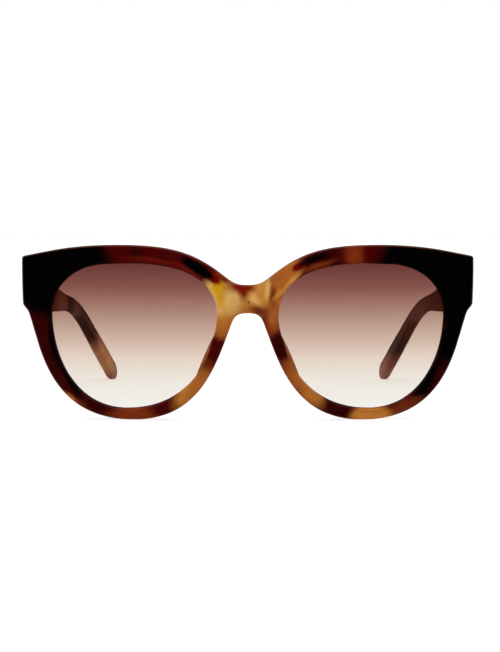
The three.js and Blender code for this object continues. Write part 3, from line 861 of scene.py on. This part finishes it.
def patch_share(shader, place, centre, radii, tilt, softness):
    """1 inside a soft ellipsoid, 0 outside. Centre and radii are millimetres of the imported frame."""
    mapping = shader.add("ShaderNodeMapping", vector_type="TEXTURE")
    shader.link(place, mapping.inputs["Vector"])
    mapping.inputs["Location"].default_value = [c * MM for c in centre]
    mapping.inputs["Rotation"].default_value = [math.radians(t) for t in tilt]
    mapping.inputs["Scale"].default_value = [r * MM for r in radii]
    return shader.ramp(shader.vector("LENGTH", mapping.outputs[0]), 1 + softness, 1 - softness)


POLISH_ROUGHNESS = 0.07


def polished(shader, colour, specular=0.42):
    """Tumbled and polished acetate: glossy, with the faintest waviness and uneven polish."""
    wave = shader.noise(160, 2.0).outputs[0]
    haze = shader.ramp(shader.noise(700, 4.0, 0.6).outputs[0], 0.35, 0.75,
                       POLISH_ROUGHNESS * 0.7, POLISH_ROUGHNESS * 1.7)
    shader.surface(Base_Color=colour, Roughness=haze, IOR=1.49, Specular_IOR_Level=specular,
                   Normal=shader.bump(wave, 0.12, 0.0002))


def mottled(shader, colour, amount):
    """Fine cloudy grain inside the acetate."""
    grain = shader.ramp(shader.noise(260, 5.0, 0.62).outputs[0], 0.3, 0.7)
    darker = shader.mix(amount, colour, (0.45, 0.32, 0.26), "MULTIPLY")
    return shader.mix(grain, darker, colour)


# Front patches, each: x, z, half width, half height, tilt in degrees, softness, colour. Millimetres
# seen from the front, x growing to the wearer's left; later patches lie over earlier ones.
FRONT_PATCHES = (
    # Wearer's right: outer rim and lower rim, then the lug.
    (-66.6, 21, 3.4, 15, 18, 0.7, BROWN),
    (-65, 25, 4.2, 17, 16, 0.5, DARK_MAROON),
    (-61.6, 27, 1.9, 9, 6, 0.5, BLACK),
    (-57, 14.5, 1.9, 9.5, 25, 0.5, BLACK),
    (-56.4, 6.2, 3, 0.9, -42, 0.7, AMBER),
    (-52, 3.8, 3, 1.2, -34, 0.7, RUST),
    (-47, 4.4, 5.5, 3.4, -15, 0.5, DARK_MAROON),
    (-35.4, 1.6, 8, 2.6, 0, 0.5, COPPER),
    (-25.6, 4.4, 5.2, 3.6, 22, 0.5, MAROON),
    (-11.8, 16.2, 3.6, 3, 60, 0.5, RUST),
    (-17.2, 10.6, 6.8, 3.5, 52, 0.34, AMBER),
    (-19.4, 8.4, 4.4, 2.2, 50, 0.8, ORANGE),
    (-61, 47.5, 18.6, 15.5, 0, 0.16, BLACK),
    # Wearer's right: brow and nose side.
    (-38.8, 52.4, 2.2, 3.8, 4, 0.8, DEEP_RED),
    (-34.8, 52.6, 2.2, 3.4, 0, 0.7, DARK_MAROON),
    (-30.4, 52, 2, 3.2, 10, 0.9, DEEP_RED),
    (-28, 50, 9.5, 0.8, -9, 0.9, RED_BROWN),
    (-18.2, 46.6, 5.5, 1, -34, 0.7, RED_BROWN),
    (-9, 22.8, 3.8, 6, 12, 0.34, MAROON),
    (-7.9, 30.5, 3.6, 4, 8, 0.4, AMBER),
    (-8.6, 34.5, 4.2, 4.4, 0, 0.6, ORANGE),
    (-9.2, 39.4, 5.6, 6, 0, 0.35, HONEY),
    (-8.7, 42.4, 2.3, 2.6, 0, 0.5, YELLOW),
    (-8, 39.6, 1.3, 3.6, 8, 0.7, YELLOW),
    (-7, 45.2, 3, 1.3, -32, 0.5, RUST),
    (-10.6, 45.5, 3, 1.5, -36, 0.4, RED),
    (-16, 48.5, 6.2, 1.7, -31, 0.26, BLACK),
    # Bridge.
    (0.4, 38.4, 7, 5, 0, 0.5, TAN),
    (-4.6, 38.6, 2.2, 4, 0, 0.8, HONEY),
    (-1, 40.6, 1.3, 2.4, 8, 0.9, RUST),
    (-1.4, 42.6, 4.8, 2.1, -4, 0.7, RED),
    (0.1, 37.2, 0.3, 0.4, 0, 0.5, BROWN),
    (2.6, 38.4, 1.8, 1.8, 0, 0.9, HONEY),
    (3.2, 35, 3.6, 1.2, -8, 0.9, RUST),
    # Wearer's left: nose side and brow.
    (12, 46.6, 7, 3.4, 36, 0.25, AMBER),
    (5, 40.8, 2.8, 3.8, 0, 0.5, TAN),
    (6.4, 41, 0.8, 3.2, 0, 0.7, HONEY),
    (9, 38, 2.2, 6, 0, 0.35, AMBER),
    (8.4, 39, 0.9, 3, 0, 0.8, RUST),
    (8.2, 31, 2.8, 4.8, 0, 0.6, COPPER),
    (8.6, 33, 1.6, 3, 0, 0.9, AMBER),
    (13.2, 43.2, 6.5, 0.9, 48, 0.6, TAN),
    (16.2, 48.8, 2.6, 1.2, 26, 0.35, RED),
    (22.4, 51.2, 6.4, 2.6, 18, 0.4, DARK_MAROON),
    (22, 51.4, 5, 0.8, 18, 0.8, BLACK),
    (29, 52.4, 3, 3.6, 0, 0.6, DARK_MAROON),
    (20, 53.6, 6, 0.8, 24, 0.6, RUST),
    (22, 48.9, 6, 0.8, 20, 0.6, RUST),
    (34.6, 52.4, 4.6, 4.4, 4, 0.5, RED_BROWN),
    (33.8, 52.4, 2.2, 3.4, 4, 0.9, COPPER),
    (39.4, 52.6, 2.2, 4, 0, 0.7, DEEP_RED),
    (61, 47, 20.4, 17, 0, 0.14, BLACK),
    # Wearer's left: outer rim and lower rim.
    (66.5, 24, 6, 14, -18, 0.3, BLACK),
    (59, 12, 5, 7, -35, 0.5, DARK_MAROON),
    (57, 12, 2.2, 9, -30, 0.6, BLACK),
    (49.5, 3.6, 6.5, 1.9, 26, 0.5, RUST),
    (39, 1.6, 6.4, 2.8, 0, 0.35, ORANGE),
    (40, 1.2, 4.5, 1.1, 0, 0.7, TAN),
    (27.6, 4.2, 5.6, 3.8, -22, 0.3, DARK_MAROON),
    (16.6, 12.6, 8, 3.7, -50, 0.34, COPPER),
    (17.4, 11.4, 7, 2.6, -50, 0.8, AMBER),
    (20.4, 7.6, 3.6, 2, -48, 0.8, ORANGE),
    (10, 24, 3.4, 4.8, -12, 0.35, DARK_MAROON),
)


# Share of the painted glow of backlight through the acetate on the front's rounded edge, and how round
# the edge is where it starts.
PAINTED_GLOW_SHARE, PAINTED_GLOW_START = 0.16, 0.3
# Half size of a patch in a direction in which it has no end.
THROUGH = 1000


def front_acetate():
    shader = Shader("front_acetate")
    place = wavy_place(shader, 2.4, 0.7)
    colour = MAROON
    for x, z, half_width, half_height, tilt, softness, tone in FRONT_PATCHES:
        share = patch_share(shader, place, (x, 0, z), (half_width, THROUGH, half_height),
                            (0, -tilt, 0), softness)
        colour = shader.mix(share, colour, tone)
    colour = mottled(shader, colour, 0.35)
    # Painted light: a warm glow of backlight screened over the rounded outer edge.
    glow = shader.add("ShaderNodeAttribute", attribute_name="outer_edge")
    share = shader.ramp(glow.outputs["Fac"], PAINTED_GLOW_START, 1.0, 0.0, PAINTED_GLOW_SHARE)
    colour = shader.mix(share, colour, PAINTED_EDGE_GLOW, "SCREEN")
    polished(shader, colour)
    return shader.material


# Temple patches: which side they are on (0 for both), distance along the temple, height above its
# middle, half length, half height, softness, colour.
TEMPLE_PATCHES = (
    (0, 8, 0, 17, 14, 0.25, BLACK),
    (0, 27, 5, 6, 4, 0.5, DARK_MAROON),
    (0, 36, -1, 10, 6, 0.45, RUST),
    (1, 33, -3, 7, 2.4, 0.6, AMBER),
    (-1, 37, 2.4, 7, 2.2, 0.6, ORANGE),
    (0, 49, 0, 6, 9, 0.4, DARK_MAROON),
    (-1, 47, 1, 3, 7, 0.5, BLACK),
    (0, 60, 0, 7, 7, 0.5, COPPER),
    (1, 58, 2, 4, 2, 0.7, AMBER),
    (-1, 73, 0, 9, 6, 0.5, MAUVE),
    (1, 76, 0, 10, 6, 0.6, DUSK),
    (-1, 87, 0, 5, 6, 0.7, COCOA),
    (-1, 95, 0, 4, 5, 0.8, DUSK),
    (-1, 107, 0, 9.5, 8, 0.4, COCOA),
    (1, 109, 0, 6, 7, 0.6, BROWN),
    (1, 119, 0, 7, 8, 0.5, COCOA),
    (-1, 127, 0.6, 9, 8, 0.45, PALE_TAN),
    (1, 138, 0, 7, 8, 0.6, MAUVE),
    (-1, 139.5, 0, 6, 8, 0.6, MAUVE),
)


# Middle and half width of a patch that is on one temple only.
SIDE_CENTRE, SIDE_HALF_WIDTH = 60, 75


def temple_acetate():
    shader = Shader("temple_acetate")
    place = wavy_place(shader, 3.2, 0.9)
    colour = DUSK
    for side, s, above, half_length, half_height, softness, tone in TEMPLE_PATCHES:
        (_, y, z), slope = temple_path(s)
        centre = (SIDE_CENTRE * side, SHIFT_Y + y + above * math.sin(slope),
                  z + above * math.cos(slope) - STAND_HEIGHT)
        half_width = SIDE_HALF_WIDTH if side else THROUGH
        share = patch_share(shader, place, centre, (half_width, half_length, half_height),
                            (-math.degrees(slope), 0, 0), softness)
        colour = shader.mix(share, colour, tone)
    colour = mottled(shader, colour, 0.3)
    polished(shader, colour, specular=0.34)
    return shader.material


def pad_acetate():
    shader = Shader("pad_acetate")
    cloud = shader.ramp(shader.noise(140, 4.0, 0.6).outputs[0], 0.3, 0.7)
    colour = shader.mix(cloud, AMBER, TAN)
    polished(shader, mottled(shader, colour, 0.3))
    return shader.material


# Lens tint at heights in millimetres; both faces carry it, so each holds its square root.
LENS_TINT = (
    (3, (0.85, 0.84, 0.80)),
    (12, (0.80, 0.75, 0.69)),
    (19.5, (0.72, 0.60, 0.51)),
    (27, (0.55, 0.39, 0.315)),
    (35, (0.362, 0.205, 0.158)),
    (42.5, (0.209, 0.078, 0.064)),
    (49, (0.135, 0.040, 0.034)),
)
# Share of gloss face on, what a glancing view adds to it and how late, and the gloss's blur.
LENS_GLOSS, GLANCE_GLOSS, GLANCE_POWER = 0.035, 0.8, 5.0
LENS_BLUR = 0.02


def lens_glass():
    shader = Shader("lens")
    shader.material.blend_method = "BLEND"
    split = shader.add("ShaderNodeSeparateXYZ")
    shader.link(shader.place, split.inputs[0])
    low, high = LENS_TINT[0][0], LENS_TINT[-1][0]
    height = shader.add("ShaderNodeMapRange")
    shader.link(split.outputs["Z"], height.inputs["Value"])
    height.inputs["From Min"].default_value = low * MM
    height.inputs["From Max"].default_value = high * MM
    ramp_node = shader.add("ShaderNodeValToRGB")
    shader.link(height.outputs["Result"], ramp_node.inputs[0])
    stops = ramp_node.color_ramp.elements
    for z, _ in LENS_TINT[1:-1]:
        stops.new((z - low) / (high - low))
    for stop, (_, tint) in zip(stops, LENS_TINT):
        stop.color = (*[math.sqrt(c) for c in tint], 1)
    clear = shader.add("ShaderNodeBsdfTransparent")
    shader.link(ramp_node.outputs["Color"], clear.inputs["Color"])
    gloss = shader.add("ShaderNodeBsdfGlossy")
    gloss.inputs["Color"].default_value = (1, 1, 1, 1)
    gloss.inputs["Roughness"].default_value = LENS_BLUR
    # The same share of gloss from either side of a face: little face on, much at a glance.
    facing = shader.add("ShaderNodeLayerWeight").outputs["Facing"]
    late = shader.math("POWER", facing, GLANCE_POWER)
    share = shader.math("MULTIPLY_ADD", late, GLANCE_GLOSS, LENS_GLOSS)
    mixed = shader.add("ShaderNodeMixShader")
    shader.link(share, mixed.inputs[0])
    shader.link(clear.outputs[0], mixed.inputs[1])
    shader.link(gloss.outputs[0], mixed.inputs[2])
    shader.link(mixed.outputs[0], shader.output.inputs["Surface"])
    return shader.material


def brushed_metal(name, colour, roughness, scratch_scale):
    """Metal with fine lines drawn along its length."""
    shader = Shader(name)
    stretched = shader.vector("MULTIPLY", shader.place, scratch_scale)
    lines = shader.noise(1.0, 3.0, 0.6, stretched).outputs[0]
    tone = shader.mix(shader.ramp(lines, 0.3, 0.7), tuple(0.8 * c for c in colour), colour)
    shader.surface(Base_Color=tone, Metallic=1.0,
                   Roughness=shader.ramp(lines, 0.25, 0.75, roughness * 0.7, roughness * 1.4),
                   Normal=shader.bump(lines, 0.15, 0.00005))
    return shader.material


def floor_paint():
    shader = Shader("floor_paint")
    cloud = shader.noise(6, 2.0).outputs[0]
    shader.surface(Base_Color=shader.mix(cloud, (0.81, 0.81, 0.81), (0.835, 0.835, 0.835)), Roughness=0.9,
                   Specular_IOR_Level=0.0)
    return shader.material


# ---- Studio ----

CAMERA_DISTANCE = 750
CAMERA_HEIGHT = 83.2
CAMERA_ASIDE = 0.72
HORIZON_DEGREES = 4.05
FOCAL_LENGTH, SENSOR_HEIGHT = 131.5, 36

ROOM_LIGHT = 0.66
# Through the room's depth, from before the object at -1 to behind it at 1: where the light
# changes, and its strength or share on either side of the change.
ROOM_BEFORE = (-0.42, 0.1, 0.02, ROOM_LIGHT)
ROOM_BEHIND = (0.8, 0.95, 1.0, 0.2)
# Share of the room's light that reflections show.
GLOSS_SHARE = 0.6
# Name, azimuth, elevation and spread in degrees, and strength.
SOFT_LIGHTS = (
    ("top_light", 0, 66, 50, 1.9),
    ("right_light", 74, 26, 40, 1.7),
    ("left_light", -74, 26, 40, 1.7),
)


def add_camera():
    data = bpy.data.cameras.new("camera")
    data.lens = FOCAL_LENGTH
    data.sensor_fit = "VERTICAL"
    data.sensor_height = SENSOR_HEIGHT
    data.clip_start = 0.01
    camera = bpy.data.objects.new("camera", data)
    bpy.context.scene.collection.objects.link(camera)
    camera.location = Vector((CAMERA_ASIDE, SHIFT_Y - CAMERA_DISTANCE, CAMERA_HEIGHT)) * MM
    camera.rotation_euler = (math.radians(90 - HORIZON_DEGREES), 0, 0)
    bpy.context.scene.camera = camera


def add_soft_light(name, azimuth, elevation, spread, strength):
    """A large soft light a long way off, without shadows or reflections of its own.

    Azimuth 0 shines from behind the camera, 90 from the right.
    """
    data = bpy.data.lights.new(name, "SUN")
    data.angle = math.radians(spread)
    data.energy = strength
    data.use_shadow = False
    light = bpy.data.objects.new(name, data)
    bpy.context.scene.collection.objects.link(light)
    across, up = math.radians(azimuth), math.radians(elevation)
    source = Vector((math.sin(across) * math.cos(up), -math.cos(across) * math.cos(up), math.sin(up)))
    light.rotation_euler = source.to_track_quat("Z", "Y").to_euler()
    light.visible_glossy = False


def add_room():
    """White to the camera. To the object a light grey, darker before and behind it."""
    world = bpy.data.worlds.new("studio")
    bpy.context.scene.world = world
    world.use_nodes = True
    tree = world.node_tree
    tree.nodes.clear()

    def map_range(value, numbers, kind="SMOOTHSTEP"):
        made = tree.nodes.new("ShaderNodeMapRange")
        made.interpolation_type = kind
        for label, number in zip(RANGE_LABELS, numbers):
            made.inputs[label].default_value = number
        tree.links.new(value, made.inputs["Value"])
        return made.outputs["Result"]

    def multiply(first, second):
        made = tree.nodes.new("ShaderNodeMath")
        made.operation = "MULTIPLY"
        tree.links.new(first, made.inputs[0])
        tree.links.new(second, made.inputs[1])
        return made.outputs[0]

    def background():
        made = tree.nodes.new("ShaderNodeBackground")
        made.inputs["Color"].default_value = (1, 1, 1, 1)
        return made

    place = tree.nodes.new("ShaderNodeTexCoord")
    split = tree.nodes.new("ShaderNodeSeparateXYZ")
    tree.links.new(place.outputs["Generated"], split.inputs[0])
    depth = split.outputs["Y"]
    path = tree.nodes.new("ShaderNodeLightPath")
    shade = multiply(map_range(depth, ROOM_BEFORE), map_range(depth, ROOM_BEHIND))
    softer = map_range(path.outputs["Is Glossy Ray"], (0.0, 1.0, 1.0, GLOSS_SHARE), "LINEAR")
    room = background()
    tree.links.new(multiply(shade, softer), room.inputs["Strength"])
    white = background()
    mixed = tree.nodes.new("ShaderNodeMixShader")
    tree.links.new(path.outputs["Is Camera Ray"], mixed.inputs[0])
    tree.links.new(room.outputs[0], mixed.inputs[1])
    tree.links.new(white.outputs[0], mixed.inputs[2])
    output = tree.nodes.new("ShaderNodeOutputWorld")
    tree.links.new(mixed.outputs[0], output.inputs["Surface"])


def add_floor():
    reach = 1.6
    corners = [(-reach, -reach, 0), (reach, -reach, 0), (reach, reach, 0), (-reach, reach, 0)]
    mesh = bpy.data.meshes.new("floor")
    mesh.from_pydata(corners, [], [(0, 1, 2, 3)])
    floor = bpy.data.objects.new("floor", mesh)
    bpy.context.scene.collection.objects.link(floor)
    floor.data.materials.append(floor_paint())
    floor.visible_glossy = False


def add_studio():
    bpy.context.scene.view_settings.view_transform = "Standard"
    add_room()
    add_floor()
    for light in SOFT_LIGHTS:
        add_soft_light(*light)


# ---- The piece list ----

def finish_piece(piece, body, node, material):
    piece.data.materials.clear()
    piece.data.materials.append(material)
    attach(piece, body)
    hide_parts(node)


def build_all():
    front = front_acetate()
    temple = temple_acetate()
    pad = pad_acetate()
    glass = lens_glass()
    leaf_metal = brushed_metal("hinge_metal", (0.62, 0.6, 0.56), 0.28, (900, 900, 9000))
    screw = brushed_metal("screw_metal", (0.7, 0.7, 0.69), 0.14, (6000, 6000, 900))
    wire = brushed_metal("core_wire_metal", (0.58, 0.56, 0.52), 0.32, (9000, 500, 9000))
    finish_piece(build_front(), "front", "front_frame", front)
    for side, name in ((1, "left"), (-1, "right")):
        arm = name + "_temple"
        for build, label, body, node, slot, look in (
            (build_lens, "lens_shell_", "front", "lens_", "lens", glass),
            (build_pad, "pad_shell_", "front", "nose_pad_", "pad_acetate", pad),
            (build_front_leaf, "front_leaf_", "front", "hinge_front_leaf_", "hinge_metal", leaf_metal),
            (build_screw, "screw_", "front", "hinge_screw_", "screw_metal", screw),
            (build_temple, "temple_shell_", arm, "temple_", "temple_acetate", temple),
            (build_temple_leaf, "temple_leaf_", arm, "hinge_temple_leaf_", "hinge_metal", leaf_metal),
        ):
            finish_piece(build(label + name, side), body, node + name, look)
        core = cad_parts["temple_core_wire_" + name]
        core.data.materials.clear()
        core.data.materials.append(wire)


build_all()
add_camera()
add_studio()
